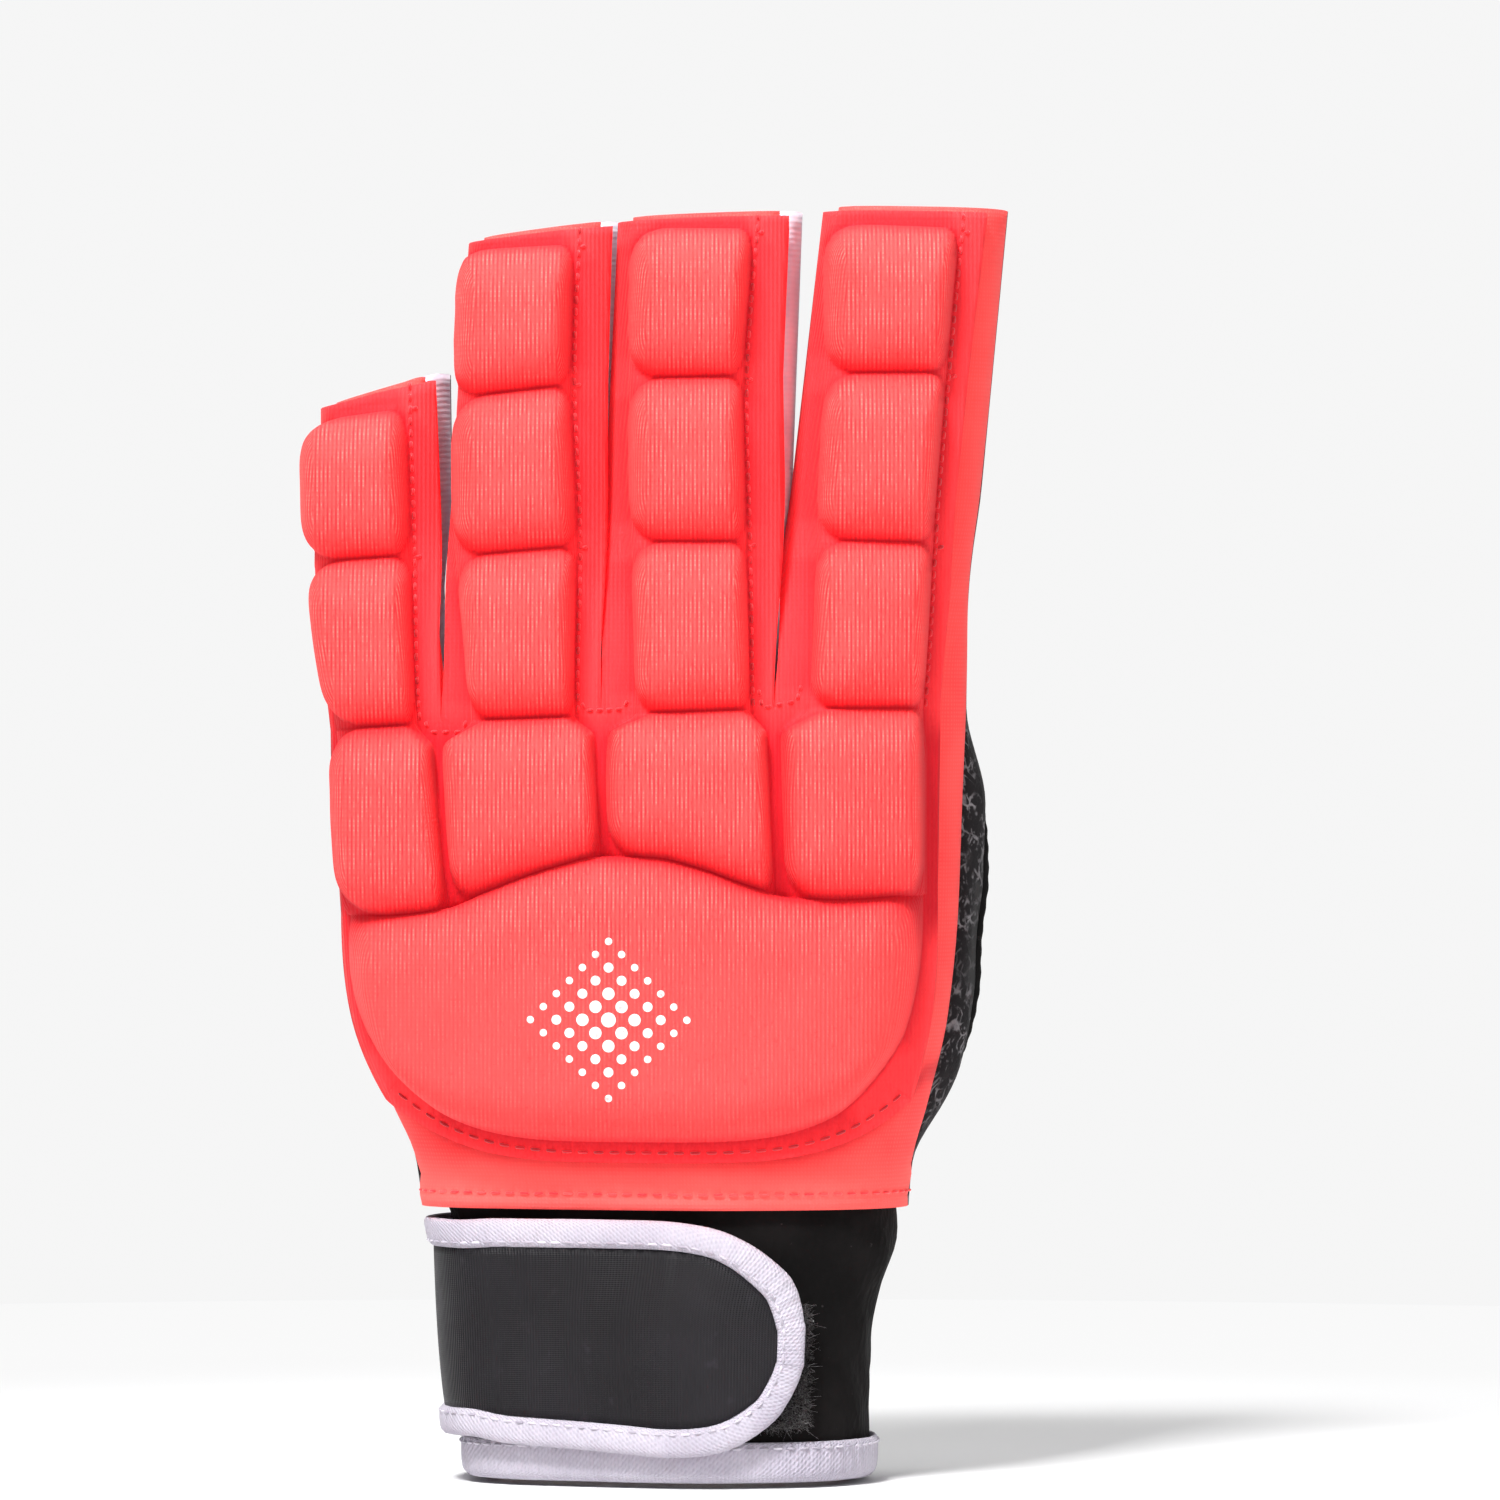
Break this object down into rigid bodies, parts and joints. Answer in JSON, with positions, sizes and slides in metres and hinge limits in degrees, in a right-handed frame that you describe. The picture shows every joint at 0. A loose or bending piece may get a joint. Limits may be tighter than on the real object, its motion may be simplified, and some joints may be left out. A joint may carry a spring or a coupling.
{
  "type": "field hockey glove",
  "caption": "Foam-padded field hockey glove for the left hand, with open fingertips, a thumb hole and a wrapped wrist strap.",
  "frame": {"origin": "the middle of the wrist opening, level with the cuff's lower edge", "axes": "+Z from the wrist to the fingertips, -Y out of the back of the hand, +X towards the thumb"},
  "size_m": [0.1068, 0.0556, 0.1926],
  "materials": {
    "padding": "foam moulded under a fine coral knit",
    "shell_fabric": "coral knit",
    "palm_fabric": "black synthetic with a grey pattern",
    "stretch_fabric": "pale stretch knit",
    "black_piping": "black bound edge",
    "cuff_fabric": "black jersey over soft foam",
    "white_binding": "white stretch binding",
    "strap_webbing": "black satin weave",
    "loop_pile": "black brushed loop pile"
  },
  "bodies": {
    "root": {"padded_back": "padding", "back_shell": "shell_fabric", "palm": "palm_fabric", "side_wall_little_ring": "stretch_fabric", "side_wall_ring_middle": "stretch_fabric", "side_wall_middle_index": "stretch_fabric", "thumb_binding": "black_piping", "cuff": "cuff_fabric", "cuff_binding": "white_binding", "strap": "strap_webbing", "strap_binding": "white_binding", "loop_patch": "loop_pile"}
  },
  "joints": []
}
